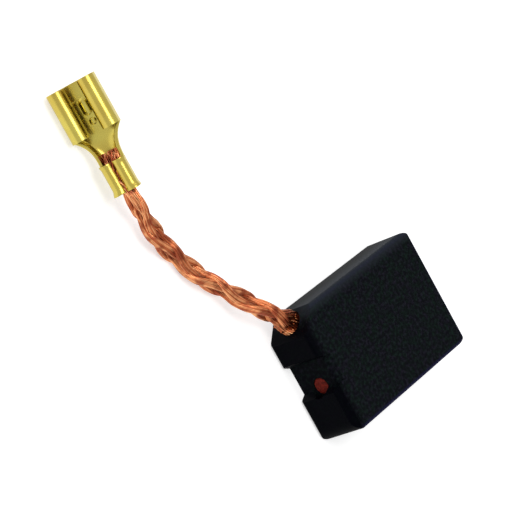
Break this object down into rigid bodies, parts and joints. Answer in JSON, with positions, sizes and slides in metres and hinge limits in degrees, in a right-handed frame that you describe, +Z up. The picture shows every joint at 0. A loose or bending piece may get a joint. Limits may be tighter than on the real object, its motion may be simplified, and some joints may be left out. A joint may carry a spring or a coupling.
{
  "type": "carbon brush",
  "caption": "Rectangular carbon brush with a plaited copper lead, a push-on female terminal and a sealed spring-loaded cut-off pin.",
  "frame": {"origin": "middle of the carbon block's back broad face, on the surface it lies on", "axes": "+X from the spring end to the contact end, +Y towards the narrow side that the lead leaves beside, +Z up through the block's thickness"},
  "size_m": [0.0378, 0.052, 0.0063],
  "materials": {
    "carbon": "pressed and ground carbon graphite, matt black",
    "compound": "dark pressed copper and graphite powder",
    "plug": "dull reddish brown",
    "spring": "drawn spring steel",
    "pin": "moulded insulating plastic",
    "copper": "bare fine copper strands, plaited",
    "brass": "stamped and folded bright brass sheet"
  },
  "bodies": {
    "root": {"carbon_block": "carbon", "tamping_compound": "compound", "bore_plug": "plug", "cutoff_spring": "spring", "cutoff_pin": "pin", "shunt_wire": "copper", "terminal": "brass"}
  },
  "joints": []
}
